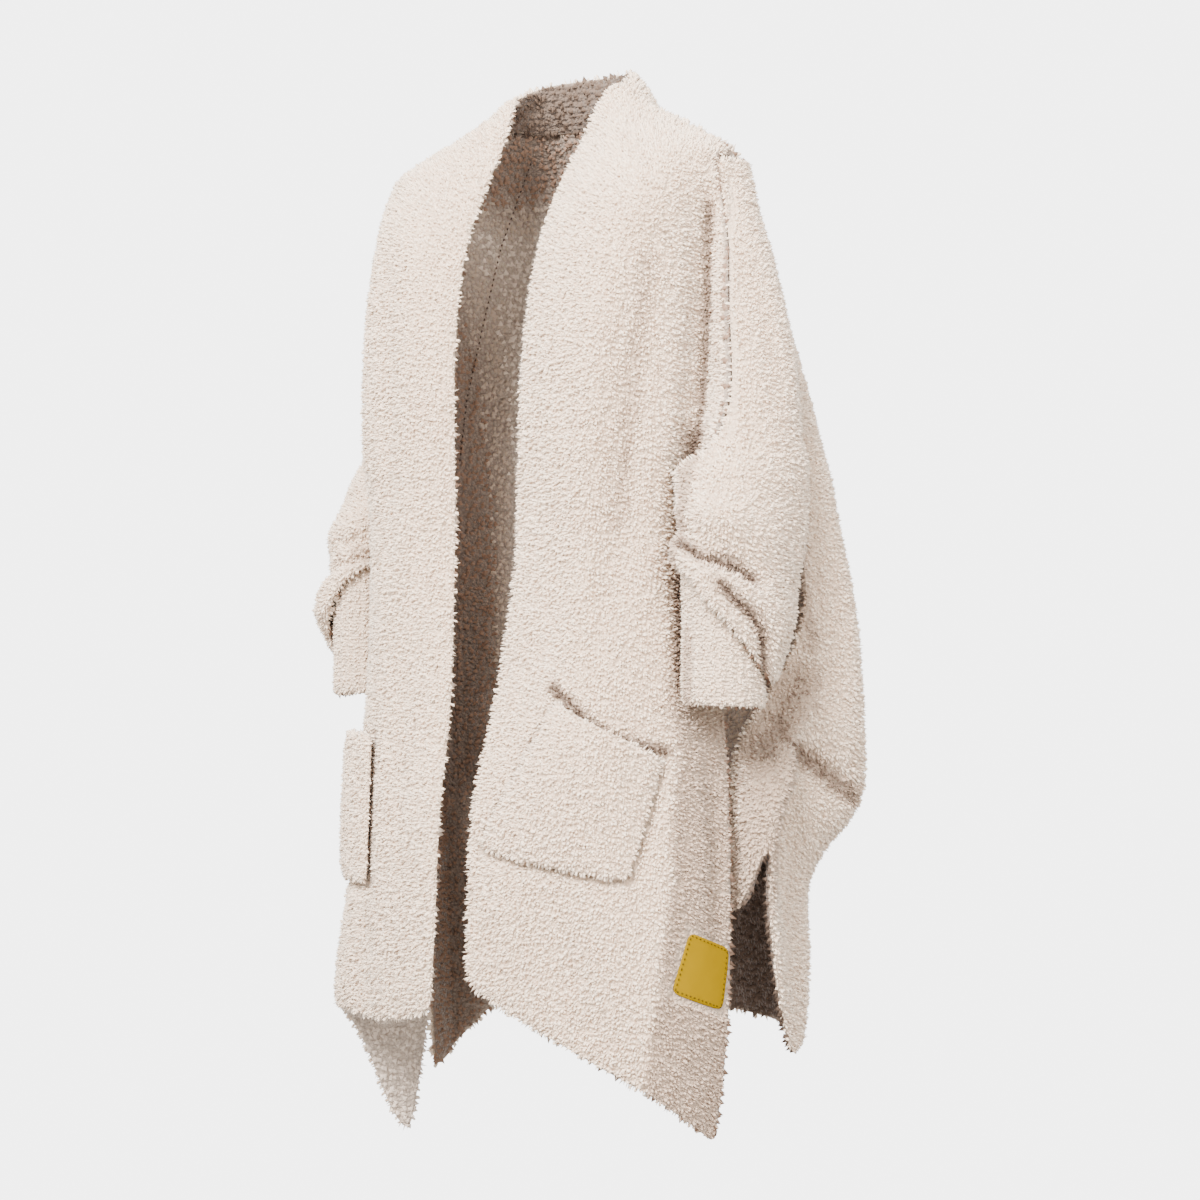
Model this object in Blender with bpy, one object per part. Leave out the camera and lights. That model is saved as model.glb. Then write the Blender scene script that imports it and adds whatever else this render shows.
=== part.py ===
"""Wearable wrap blanket in thick plush knit, in the hollow form it keeps on its wearer.

The origin is the seat at the nape, where the wearer carries the garment. The wearer faces -Y, with
the left side at +X. Each panel is a wall of even thickness through level sections: a table gives
the plan of its main folds, a row for each level, and smooth curves join them.
"""
import bpy
import numpy as np

# Driving sizes, in metres
WALL = 0.008             # the knit with its pile on both faces
SEAM = 0.0003            # gap between pieces that are sewn together
SEAM_FOOT = (7.0, 24.0)  # how many times wider it is at an armhole's foot, in front and at the back
RIM = 0.65               # how far a free edge thins, as a share of the wall
POCKET_WALL = 0.006
POCKET_BULGE = 0.014     # how far a pocket's opening stands off its panel
POCKET_SPREAD, POCKET_FADE = 0.8, 0.6   # powers: how full it is across, how fast it lessens downward
LABEL_GAP = 0.0004       # between the label and its panel
POCKET_GAP_LEFT = 0.0004
POCKET_GAP_RIGHT = 0.0012               # it bends round the side, past the front's flat faces
LABEL_WALL = 0.0014
CUFF_RADIUS = 0.037      # to the middle of the cuff's wall
CUFF_CENTRE = (0.268, -0.079)
CUFF_TOP = (-0.440, -0.553)             # in front, at the back: tilted like the sleeve's end
CUFF_BOTTOM = -0.597
CUFF_WAIST = 0.05        # how much the cuff's middle is drawn in, as a share
CUFF_RINGS, CUFF_SPANS = 4, 18
RIPPLE = 0.007           # height of the soft folds across the back, at its hem
RIPPLE_TOP, RIPPLE_LOW = -0.20, -0.60
RIPPLE_PITCH = 1.45      # in spans of the section's fold lines

# The right arm hangs closer to the body and further back than the left
ARM_SHIFT = (-0.020, 0.055)
ARM_SHIFT_TOP, ARM_SHIFT_LOW = -0.05, -0.20

# Levels that the shoulder seams and the armhole seams share
COLLAR_LEVELS = (0.040, 0.025, 0.008)
SHOULDER_LEVELS = (0.008, -0.010, -0.027, -0.044)
ARMHOLE_LEVELS = (-0.052, -0.080, -0.110, -0.150, -0.200, -0.250, -0.300, -0.345)
LOWER_LEVELS = (-0.355, -0.368, -0.383, -0.430, -0.490, -0.560, -0.620, -0.660, -0.700)
HEM_ROWS = 6             # rows between the last level and the hem
FRONT_PLACES = (0, 0.33, 0.67, 1, 1.33, 1.67, 2, 2.33, 2.67, 3, 3.25, 3.5, 3.75, 4)   # columns

# Shoulder ridge, where front and back are joined
# level   x      y
RIDGE = (
    (0.040, 0.070, 0.014),
    (0.025, 0.090, 0.012),
    (0.008, 0.113, 0.011),
    (-0.010, 0.148, 0.010),
    (-0.027, 0.184, 0.010),
    (-0.044, 0.214, 0.010),
)

# Left front: its fold lines, from the front edge to the side
# level    edge            breast          side fold       crease          side edge
FRONT_LEFT = (
    (0.040, 0.066, 0.008, 0.067, 0.010, 0.068, 0.011, 0.069, 0.012, 0.070, 0.014),
    (0.025, 0.061, -0.004, 0.070, -0.003, 0.077, 0.001, 0.084, 0.006, 0.090, 0.012),
    (0.008, 0.058, -0.013, 0.075, -0.015, 0.090, -0.010, 0.103, -0.001, 0.113, 0.011),
    (-0.010, 0.056, -0.022, 0.090, -0.029, 0.118, -0.024, 0.137, -0.009, 0.149, 0.010),
    (-0.027, 0.055, -0.032, 0.108, -0.043, 0.148, -0.036, 0.174, -0.015, 0.187, 0.010),
    (-0.044, 0.053, -0.044, 0.118, -0.059, 0.170, -0.053, 0.203, -0.024, 0.219, 0.010),
    (-0.080, 0.052, -0.066, 0.120, -0.088, 0.184, -0.077, 0.211, -0.037, 0.230, -0.024),
    (-0.130, 0.050, -0.092, 0.120, -0.110, 0.190, -0.090, 0.212, -0.038, 0.240, -0.036),
    (-0.200, 0.047, -0.109, 0.120, -0.125, 0.191, -0.096, 0.211, -0.037, 0.247, -0.047),
    (-0.300, 0.044, -0.117, 0.120, -0.131, 0.193, -0.096, 0.209, -0.038, 0.266, -0.060),
    (-0.345, 0.043, -0.117, 0.120, -0.131, 0.193, -0.095, 0.207, -0.044, 0.250, -0.078),
    (-0.355, 0.043, -0.117, 0.120, -0.131, 0.192, -0.095, 0.203, -0.050, 0.234, -0.058),
    (-0.368, 0.043, -0.117, 0.120, -0.131, 0.191, -0.094, 0.199, -0.054, 0.211, -0.032),
    (-0.383, 0.042, -0.117, 0.120, -0.131, 0.190, -0.093, 0.196, -0.056, 0.198, -0.018),
    (-0.450, 0.042, -0.118, 0.120, -0.132, 0.191, -0.092, 0.198, -0.056, 0.198, -0.014),
    (-0.520, 0.036, -0.128, 0.120, -0.138, 0.200, -0.092, 0.207, -0.058, 0.208, -0.015),
    (-0.590, 0.030, -0.136, 0.120, -0.146, 0.211, -0.092, 0.219, -0.060, 0.223, -0.020),
    (-0.700, 0.021, -0.166, 0.120, -0.157, 0.220, -0.101, 0.233, -0.069, 0.238, -0.030),
    (-0.800, 0.021, -0.173, 0.122, -0.163, 0.224, -0.115, 0.240, -0.080, 0.245, -0.037),
    (-0.900, 0.021, -0.176, 0.125, -0.162, 0.220, -0.128, 0.240, -0.090, 0.248, -0.043),
    (-1.030, 0.021, -0.176, 0.125, -0.158, 0.212, -0.137, 0.233, -0.102, 0.240, -0.055),
)

# Right front, mirrored to the left side
FRONT_RIGHT = (
    (0.040, 0.066, 0.008, 0.067, 0.010, 0.068, 0.011, 0.069, 0.012, 0.070, 0.014),
    (0.025, 0.061, -0.004, 0.070, -0.003, 0.077, 0.001, 0.084, 0.006, 0.090, 0.012),
    (0.008, 0.058, -0.013, 0.075, -0.015, 0.090, -0.010, 0.103, -0.001, 0.113, 0.011),
    (-0.010, 0.056, -0.022, 0.090, -0.029, 0.118, -0.024, 0.137, -0.009, 0.149, 0.010),
    (-0.027, 0.055, -0.032, 0.108, -0.043, 0.148, -0.036, 0.174, -0.015, 0.187, 0.010),
    (-0.044, 0.053, -0.044, 0.118, -0.059, 0.168, -0.053, 0.200, -0.024, 0.219, 0.010),
    (-0.080, 0.052, -0.066, 0.118, -0.086, 0.180, -0.068, 0.207, -0.026, 0.226, -0.016),
    (-0.130, 0.050, -0.092, 0.118, -0.108, 0.184, -0.080, 0.207, -0.018, 0.232, -0.012),
    (-0.200, 0.047, -0.109, 0.118, -0.122, 0.187, -0.086, 0.202, -0.006, 0.229, 0.007),
    (-0.300, 0.044, -0.117, 0.118, -0.128, 0.189, -0.086, 0.200, -0.008, 0.246, -0.005),
    (-0.345, 0.043, -0.117, 0.118, -0.128, 0.188, -0.086, 0.196, -0.028, 0.230, -0.023),
    (-0.355, 0.043, -0.117, 0.118, -0.128, 0.186, -0.086, 0.189, -0.042, 0.208, -0.012),
    (-0.368, 0.043, -0.117, 0.118, -0.128, 0.182, -0.086, 0.181, -0.050, 0.180, -0.012),
    (-0.383, 0.042, -0.117, 0.117, -0.128, 0.180, -0.085, 0.178, -0.050, 0.172, -0.012),
    (-0.450, 0.042, -0.118, 0.116, -0.129, 0.180, -0.084, 0.181, -0.049, 0.174, -0.010),
    (-0.520, 0.036, -0.128, 0.114, -0.132, 0.183, -0.083, 0.189, -0.050, 0.182, -0.008),
    (-0.590, 0.030, -0.136, 0.112, -0.136, 0.187, -0.084, 0.197, -0.050, 0.193, -0.006),
    (-0.700, 0.022, -0.164, 0.114, -0.142, 0.198, -0.090, 0.212, -0.054, 0.208, 0.000),
    (-0.800, 0.020, -0.173, 0.116, -0.146, 0.206, -0.096, 0.223, -0.056, 0.206, 0.018),
    (-0.910, 0.024, -0.176, 0.130, -0.140, 0.223, -0.100, 0.240, -0.062, 0.202, 0.024),
    (-1.086, 0.026, -0.176, 0.144, -0.130, 0.225, -0.104, 0.245, -0.030, 0.216, 0.005),
)

# Hem of each front, at places along the same five lines
# line, level
FRONT_HEM_LEFT = ((0, -0.878), (1, -0.927), (2, -0.972), (3, -1.000), (4, -1.030))
FRONT_HEM_RIGHT = ((0, -0.911), (1, -0.931), (2, -0.927), (3, -0.952), (3.25, -0.990),
                   (3.5, -1.050), (4, -1.086))

# Left sleeve: an open arc over the arm, then a closed tube. The ends of each arc are in degrees
# round its centre from +X, the front being -90.
# front    back     centre          radii           from    to
SLEEVE = (
    (-0.052, -0.052, 0.205, 0.008, 0.020, 0.022, -75, 80),
    (-0.110, -0.110, 0.210, -0.002, 0.032, 0.030, -48, 48),
    (-0.150, -0.150, 0.215, -0.006, 0.046, 0.036, -52, 42),
    (-0.200, -0.200, 0.218, -0.010, 0.059, 0.041, -58, 42),
    (-0.250, -0.250, 0.221, -0.013, 0.071, 0.045, -59, 42),
    (-0.300, -0.300, 0.222, -0.018, 0.078, 0.050, -56, 42),
    (-0.345, -0.345, 0.226, -0.026, 0.078, 0.056, -68, 45),
    (-0.355, -0.361, 0.237, -0.032, 0.071, 0.059, -90, 72),
    (-0.367, -0.381, 0.250, -0.038, 0.061, 0.060, -128, 118),
    (-0.382, -0.404, 0.260, -0.043, 0.052, 0.060, -172, 168),
    (-0.402, -0.430, 0.264, -0.050, 0.053, 0.062, -178, 178),
    (-0.418, -0.460, 0.267, -0.056, 0.049, 0.058, -178, 178),
    (-0.428, -0.490, 0.270, -0.060, 0.045, 0.054, -178, 178),
    (-0.436, -0.520, 0.272, -0.070, 0.052, 0.058, -178, 178),
    (-0.446, -0.550, 0.270, -0.077, 0.051, 0.052, -178, 178),
    (-0.456, -0.575, 0.268, -0.079, 0.0475, 0.0475, -178, 178),
)
SLEEVE_LOW = 40          # the side, in degrees, where a tilted ring is lowest
SLEEVE_SPANS = 14
SLEEVE_OPEN_ROWS = 7     # rows of SLEEVE above the closed tube

# Back: plan of its fold lines on the left, and how far back its middle lies
# level    middle  drape           end, read below the armhole
BACK_LEFT = (
    (0.008, 0.085, 0.090, 0.050, 0.113, 0.011),
    (-0.010, 0.100, 0.125, 0.046, 0.149, 0.010),
    (-0.027, 0.108, 0.155, 0.045, 0.187, 0.010),
    (-0.044, 0.116, 0.178, 0.045, 0.219, 0.010),
    (-0.080, 0.130, 0.195, 0.045, 0.222, 0.026),
    (-0.110, 0.138, 0.207, 0.046, 0.230, 0.020),
    (-0.150, 0.146, 0.225, 0.049, 0.249, 0.018),
    (-0.200, 0.150, 0.238, 0.054, 0.262, 0.017),
    (-0.300, 0.156, 0.268, 0.063, 0.280, 0.016),
    (-0.345, 0.158, 0.278, 0.067, 0.281, 0.015),
    (-0.356, 0.158, 0.281, 0.069, 0.286, 0.030),
    (-0.385, 0.160, 0.287, 0.072, 0.289, 0.035),
    (-0.430, 0.161, 0.292, 0.077, 0.291, 0.040),
    (-0.490, 0.162, 0.302, 0.086, 0.288, 0.047),
    (-0.560, 0.163, 0.305, 0.096, 0.264, 0.034),
    (-0.620, 0.163, 0.305, 0.104, 0.234, 0.004),
    (-0.660, 0.163, 0.304, 0.110, 0.224, -0.002),
    (-0.700, 0.162, 0.303, 0.116, 0.222, -0.004),
    (-0.730, 0.161, 0.270, 0.104, 0.221, -0.006),
    (-0.780, 0.158, 0.240, 0.094, 0.220, -0.007),
    (-0.860, 0.155, 0.242, 0.098, 0.219, -0.008),
    (-0.955, 0.152, 0.238, 0.094, 0.218, -0.008),
)

# The pleat low on the left; well above it the fold lines are evenly spaced
# level    inner fold      outer fold      lobe
PLEAT_LEFT = (
    (-0.620, 0.279, 0.052, 0.274, 0.030, 0.255, 0.012),
    (-0.660, 0.266, 0.036, 0.286, 0.010, 0.257, -0.006),
    (-0.700, 0.250, 0.018, 0.283, -0.008, 0.259, -0.016),
    (-0.730, 0.250, 0.020, 0.276, -0.010, 0.256, -0.015),
    (-0.780, 0.246, 0.029, 0.268, -0.011, 0.250, -0.014),
    (-0.860, 0.244, 0.058, 0.264, -0.011, 0.248, -0.014),
    (-0.955, 0.241, 0.074, 0.262, -0.011, 0.247, -0.014),
)

# Right side of the back, mirrored to the left: it hangs plain
# level    drape           end, read below the armhole
BACK_RIGHT = (
    (0.008, 0.090, 0.050, 0.113, 0.011),
    (-0.010, 0.125, 0.046, 0.149, 0.010),
    (-0.027, 0.155, 0.045, 0.187, 0.010),
    (-0.044, 0.178, 0.047, 0.219, 0.010),
    (-0.080, 0.193, 0.052, 0.220, 0.033),
    (-0.110, 0.203, 0.060, 0.226, 0.035),
    (-0.150, 0.218, 0.076, 0.240, 0.045),
    (-0.200, 0.232, 0.094, 0.250, 0.062),
    (-0.300, 0.258, 0.104, 0.268, 0.061),
    (-0.345, 0.268, 0.107, 0.269, 0.060),
    (-0.356, 0.271, 0.112, 0.266, 0.084),
    (-0.385, 0.278, 0.118, 0.275, 0.086),
    (-0.430, 0.284, 0.124, 0.275, 0.088),
    (-0.490, 0.288, 0.130, 0.268, 0.087),
    (-0.560, 0.290, 0.132, 0.258, 0.080),
    (-0.700, 0.282, 0.132, 0.246, 0.066),
    (-0.800, 0.266, 0.122, 0.244, 0.064),
    (-0.900, 0.256, 0.116, 0.246, 0.070),
    (-1.020, 0.246, 0.112, 0.250, 0.084),
)

# Hem of the back at its fold lines: end, lobe, outer fold, inner fold, drape, flank
BACK_HEM_LEFT = (-0.800, -0.797, -0.738, -0.955, -0.950, -0.932)
BACK_HEM_RIGHT = (-1.020, -1.018, -1.015, -1.010, -1.000, -0.940)
BACK_HEM_MIDDLE = -0.925
FLANK = (0.75, 0.68)     # where the flank line lies between drape and middle, across and back
BACK_SPANS = 3           # columns for each span of fold lines
PLEAT_FADE = 0.06        # height over which the pleat dies out upward

# Collar: its top edge, from the shoulder ridge to the middle of the neck
COLLAR_TOP_MIDDLE = (0.076, 0.066)      # how far back, level
COLLAR_TOP_CORNER = (0.056, 0.050)      # across, back
NECK_LEVEL = 0.012                      # of the neck seam, at the middle
NECK_LEAN = 0.55                        # how much the wall leans outward there, per unit across
NECK_TURN = 0.35                        # where it starts to turn into the shoulder's slope

# Pockets: corners on the front, as fold line and level, top inner first and round
POCKET_LEFT = ((0.98, -0.592), (1.90, -0.650), (1.64, -0.768), (0.17, -0.742))
POCKET_RIGHT = ((1.32, -0.632), (3.30, -0.645), (3.40, -0.790), (1.24, -0.790))
LABEL = ((2.62, -0.815), (3.90, -0.836), (3.72, -0.897), (2.28, -0.874))
POCKET_SPANS, LABEL_SPANS = 8, 4

CREAM = (0.72, 0.60, 0.50)
YELLOW = (0.75, 0.50, 0.01)


def clear_scene():
    for old in list(bpy.data.objects):
        bpy.data.objects.remove(old, do_unlink=True)


def through(knots, values, at, keep=False):
    """Cubic through the values; keep stops it from passing beyond them between knots."""
    knots = np.asarray(knots, float)
    values = np.asarray(values, float)
    if knots[0] > knots[-1]:
        knots, values = knots[::-1], values[::-1]
    steps = np.diff(knots)
    steps_wide = steps.reshape((-1,) + (1,) * (values.ndim - 1))
    slopes = np.diff(values, axis=0) / steps_wide
    tangents = np.empty_like(values)
    tangents[0], tangents[-1] = slopes[0], slopes[-1]
    before, after = slopes[:-1], slopes[1:]
    left, right = steps_wide[:-1], steps_wide[1:]
    tangents[1:-1] = (before * right + after * left) / (left + right)
    if keep:
        same = before * after > 0
        safe = np.where(same, before + after, 1.0)
        tangents[1:-1] = np.where(same, 2.0 * before * after / safe, 0.0)
    at = np.clip(np.asarray(at, float), knots[0], knots[-1])
    span = np.clip(np.searchsorted(knots, at, side="right") - 1, 0, len(steps) - 1)
    shape = at.shape + (1,) * (values.ndim - 1)
    width = steps[span].reshape(shape)
    part = ((at - knots[span]) / steps[span]).reshape(shape)
    start, end = values[span], values[span + 1]
    turn, leave = tangents[span] * width, tangents[span + 1] * width
    return (start * (1 + 2 * part) * (1 - part) ** 2 + turn * part * (1 - part) ** 2
            + end * part ** 2 * (3 - 2 * part) - leave * part ** 2 * (1 - part))


def read(table, level):
    """A table's row at any level, without the level itself."""
    rows = np.array(table)
    return through(rows[:, 0], rows[:, 1:], level, keep=True)


def section(lines, at):
    """Points on a smooth curve through the fold lines, at counted places along them."""
    lines = np.asarray(lines, float)
    chords = np.linalg.norm(np.diff(lines, axis=0), axis=1) ** 0.75 + 1e-6
    knots = np.concatenate(([0.0], np.cumsum(chords)))
    places = np.interp(at, np.arange(len(lines)), knots)
    return through(knots, lines, places)


def ease(value, start, end):
    """0 at start, 1 at end, smooth between them."""
    part = np.clip((value - start) / (end - start), 0.0, 1.0)
    return part * part * (3 - 2 * part)


def unit(vectors):
    return vectors / np.maximum(np.linalg.norm(vectors, axis=-1, keepdims=True), 1e-12)


def facing(grid, centre):
    """Normals of a grid of points, pointing away from centre."""
    across = np.gradient(grid, axis=1)
    down = np.gradient(grid, axis=0)
    normals = unit(np.cross(across, down))
    return normals if np.sum(normals * (grid - centre)) > 0 else -normals


def mirrored(points, side):
    """Points on the wearer's left, or their mirror image on the right."""
    return np.asarray(points, float) * (side, 1.0, 1.0)


# Seams that two or three pieces share

def ridge(level, side):
    x, y = read(RIDGE, level)
    return mirrored((x, y, level), side)


def ridge_normal(level, side):
    """Square to the shoulder's slope, upward."""
    low = ridge(max(level - 0.004, RIDGE[-1][0]), 1)
    high = ridge(min(level + 0.004, RIDGE[0][0]), 1)
    slope = low - high
    return mirrored(unit(np.array((-slope[2], 0.0, slope[0]))), side)


def arm_shift(level, side):
    """How far the right arm's sections lie from the left arm's mirror image."""
    share = float(ease(level, ARM_SHIFT_TOP, ARM_SHIFT_LOW)) if side < 0 else 0.0
    return ARM_SHIFT[0] * share, ARM_SHIFT[1] * share


def arm_row(row, places, side):
    """A sleeve section's points and outward normals at places from 0 to 1 along it."""
    front, back, cx, cy, across, deep, start, end = row
    dx, dy = arm_shift(0.5 * (front + back), side)
    angle = np.radians(start + (end - start) * np.asarray(places, float))
    low = 0.5 + 0.5 * np.cos(angle - np.radians(SLEEVE_LOW))
    points = np.stack((cx + dx + across * np.cos(angle), cy + dy + deep * np.sin(angle),
                       front + (back - front) * low), axis=-1)
    normals = np.stack((np.cos(angle) / across, np.sin(angle) / deep, 0.0 * angle), axis=-1)
    return mirrored(points, side), mirrored(unit(normals), side)


def arm_at(level):
    """The open part of the sleeve's table at any level."""
    rest = read([(row[0],) + row[2:] for row in SLEEVE[:SLEEVE_OPEN_ROWS]], level)
    return (level, level, *rest)


def armhole(level, place, side):
    """Point and normal of the armhole seam: place 0 in front, 1 at the back."""
    points, normals = arm_row(arm_at(level), np.array([place]), side)
    return points[0], normals[0]


def set_seam(grid, normals, column, seam, inward, last=1.0):
    """Put a grid's column on a shared seam, half a gap back from it on the grid's own side.

    last widens the gap at the seam's foot, where the pieces part.
    """
    count = len(seam)
    points = np.array([point for point, _ in seam])
    square = np.array([normal for _, normal in seam])
    along = np.gradient(points, axis=0)
    aside = unit(np.cross(square, along))
    toward = grid[:count, inward] - grid[:count, column]
    aside *= np.sign(np.sum(aside * toward, axis=1, keepdims=True))
    gaps = np.full((count, 1), SEAM / 2)
    gaps[-1] *= last
    grid[:count, column] = points + aside * gaps
    normals[:count, column] = square


# Walls

def build_wall(name, grid, normals, half, colour, free=()):
    """A closed wall through a grid of points, thinned along its free edges."""
    rows, columns = grid.shape[:2]
    depth = np.full((rows, columns), float(half))
    edges = {"top": np.s_[0, :], "bottom": np.s_[-1, :], "start": np.s_[:, 0],
             "end": np.s_[:, -1]}
    for edge in free:
        depth[edges[edge]] = half * RIM
    outer = grid + normals * depth[..., None]
    inner = grid - normals * depth[..., None]
    points = np.concatenate((outer.reshape(-1, 3), inner.reshape(-1, 3)))
    count = rows * columns
    index = np.arange(count).reshape(rows, columns)
    faces = []
    for row in range(rows - 1):
        for column in range(columns - 1):
            quad = (index[row, column], index[row, column + 1],
                    index[row + 1, column + 1], index[row + 1, column])
            for triangle in (quad[:3], (quad[0], *quad[2:])):
                faces.append(triangle)
                faces.append(tuple(count + corner for corner in reversed(triangle)))
    loop = (list(index[0, :]) + list(index[1:, -1]) + list(index[-1, -2::-1])
            + list(index[-2:0:-1, 0]))
    # Two pieces that share a seam split its face along the same diagonal
    for here, there in zip(loop, loop[1:] + loop[:1]):
        if here < there:
            faces += [(here, here + count, there + count), (here, there + count, there)]
        else:
            faces += [(here, here + count, there), (here + count, there + count, there)]
    return build_mesh(name, points, faces, colour)


def build_mesh(name, points, faces, colour):
    mesh = bpy.data.meshes.new(name)
    mesh.from_pydata([tuple(map(float, point)) for point in points], [],
                     [tuple(int(corner) for corner in face) for face in faces])
    if signed_volume(mesh) < 0:
        mesh.flip_normals()
    mesh.shade_smooth()
    mesh.set_sharp_from_angle(angle=np.radians(50))
    material = bpy.data.materials.new(name)
    material.use_nodes = True
    shader = material.node_tree.nodes["Principled BSDF"]
    shader.inputs["Base Color"].default_value = (*colour, 1.0)
    shader.inputs["Roughness"].default_value = 0.95
    shader.inputs["Metallic"].default_value = 0.0
    mesh.materials.append(material)
    piece = bpy.data.objects.new(name, mesh)
    bpy.context.collection.objects.link(piece)
    return piece


def signed_volume(mesh):
    total = 0.0
    for face in mesh.polygons:
        corners = [mesh.vertices[corner].co for corner in face.vertices]
        for second, third in zip(corners[1:-1], corners[2:]):
            total += corners[0].dot(second.cross(third))
    return total / 6.0


# Fronts

def front_lines(side, level):
    """Plan of a front's five fold lines at a level, as on the left side."""
    table = FRONT_LEFT if side > 0 else FRONT_RIGHT
    lines = read(table, level).reshape(-1, 2)
    if level >= SHOULDER_LEVELS[-1]:
        lines[-1] = ridge(level, 1)[:2]
    elif ARMHOLE_LEVELS[-1] <= level <= ARMHOLE_LEVELS[0]:
        lines[-1] = armhole(level, 0.0, side)[0][:2] * (side, 1.0)
    return lines


def front_point(side, place, level):
    x, y = section(front_lines(side, level), np.array([place]))[0]
    return mirrored((x, y, level), side)


def front_grid(side):
    hem = FRONT_HEM_LEFT if side > 0 else FRONT_HEM_RIGHT
    places = np.array(FRONT_PLACES)
    hems = read(hem, places)[:, 0]
    levels = (COLLAR_LEVELS + SHOULDER_LEVELS[1:] + ARMHOLE_LEVELS + LOWER_LEVELS)
    rows = [[front_point(side, place, level) for place in places] for level in levels]
    for row in range(1, HEM_ROWS + 1):
        share = row / HEM_ROWS
        rows.append([front_point(side, place, levels[-1] + (low - levels[-1]) * share)
                     for place, low in zip(places, hems)])
    grid = np.array(rows)
    normals = facing(grid, np.array((0.0, 0.05, 0.0)))
    seam = [(ridge(level, side), ridge_normal(level, side))
            for level in COLLAR_LEVELS + SHOULDER_LEVELS[1:]]
    seam += [armhole(level, 0.0, side) for level in ARMHOLE_LEVELS]
    set_seam(grid, normals, -1, seam, -2, SEAM_FOOT[0])
    return grid, normals


def build_front(side):
    grid, normals = front_grid(side)
    name = "front_left" if side > 0 else "front_right"
    return build_wall(name, grid, normals, WALL / 2, CREAM, ("start", "bottom"))


def lift_from_front(side, corners, spans, lift):
    """A patch's points on a front's outer face, moved out by lift(u, v)."""
    corners = np.array(corners)
    step = 0.01
    rows = []
    square_rows = []
    for v in np.linspace(0, 1, spans + 1):
        row, squares = [], []
        for u in np.linspace(0, 1, spans + 1):
            place, level = ((corners[0] * (1 - u) + corners[1] * u) * (1 - v)
                            + (corners[3] * (1 - u) + corners[2] * u) * v)
            point = front_point(side, place, level)
            across = front_point(side, place + step, level) - front_point(side, place - step, level)
            down = front_point(side, place, level - step) - front_point(side, place, level + step)
            square = unit(np.cross(down, across)) * side
            row.append(point + square * lift(u, v))
            squares.append(square)
        rows.append(row)
        square_rows.append(squares)
    return np.array(rows), np.array(square_rows)


def build_pocket(side):
    """A patch sewn on at both sides and its foot, standing off a little at its open top."""
    gap = POCKET_GAP_LEFT if side > 0 else POCKET_GAP_RIGHT
    base = WALL / 2 + gap + POCKET_WALL / 2

    def lift(u, v):
        full = max(np.sin(np.pi * u), 0.0) ** POCKET_SPREAD
        return base + POCKET_BULGE * full * (1 - v) ** POCKET_FADE

    corners = POCKET_LEFT if side > 0 else POCKET_RIGHT
    grid, normals = lift_from_front(side, corners, POCKET_SPANS, lift)
    name = "pocket_left" if side > 0 else "pocket_right"
    return build_wall(name, grid, normals, POCKET_WALL / 2, CREAM, ("top",))


def build_label():
    base = WALL / 2 + LABEL_GAP + LABEL_WALL / 2
    grid, normals = lift_from_front(1, LABEL, LABEL_SPANS, lambda u, v: base)
    return build_wall("label", grid, normals, LABEL_WALL / 2, YELLOW)


# Back

def back_half(side, level):
    """Plan of one half's fold lines, end first, as on the left side."""
    if side > 0:
        middle, wx, wy, ex, ey = read(BACK_LEFT, level)
    else:
        middle = read(BACK_LEFT, level)[0]
        wx, wy, ex, ey = read(BACK_RIGHT, level)
    drape = np.array((wx, wy))
    end = np.array((ex, ey))
    if level >= SHOULDER_LEVELS[-1]:
        end = ridge(level, 1)[:2]
    elif ARMHOLE_LEVELS[-1] <= level <= ARMHOLE_LEVELS[0]:
        end = armhole(level, 1.0, side)[0][:2] * (side, 1.0)
    lines = [end + (drape - end) * share for share in (0.25, 0.5, 0.75)]
    pleat_top = PLEAT_LEFT[0][0]
    if side > 0 and level < pleat_top + PLEAT_FADE:
        share = float(ease(level, pleat_top + PLEAT_FADE, pleat_top))
        pleat = read(PLEAT_LEFT, min(level, pleat_top)).reshape(-1, 2)[::-1]
        lines = [plain * (1 - share) + fold * share for plain, fold in zip(lines, pleat)]
    flank = drape * (FLANK[0], 1.0) + (0.0, FLANK[1] * (middle - drape[1]))
    return [end, *lines, drape, flank], middle


def back_lines(level):
    left, middle = back_half(1, level)
    right, _ = back_half(-1, level)
    return left + [(0.0, middle)] + [(-x, y) for x, y in reversed(right)]


def back_point(place, level):
    x, y = section(back_lines(level), np.array([place]))[0]
    middle = len(BACK_HEM_LEFT)
    from_middle = abs(place - middle)
    if from_middle < 2:
        fade = float(ease(level, RIPPLE_TOP, RIPPLE_LOW)) * (1 - (from_middle / 2) ** 2)
        y += RIPPLE * fade * np.cos(2 * np.pi * (place - middle) / RIPPLE_PITCH)
    return np.array((x, y, level))


def back_places():
    spans = 2 * len(BACK_HEM_LEFT)
    return np.linspace(0, spans, spans * BACK_SPANS + 1)


def neck_normals(row):
    """Normals along the neck seam, leaning up and outward, square to the seam."""
    along = unit(np.gradient(row, axis=0))
    out = np.cross(along, (0.0, 0.0, 1.0))
    out *= np.sign(np.sum(out * (row - (0.0, 0.0, row[0][2])), axis=1, keepdims=True))
    return unit(unit(out) + (0.0, 0.0, NECK_LEAN))


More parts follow.
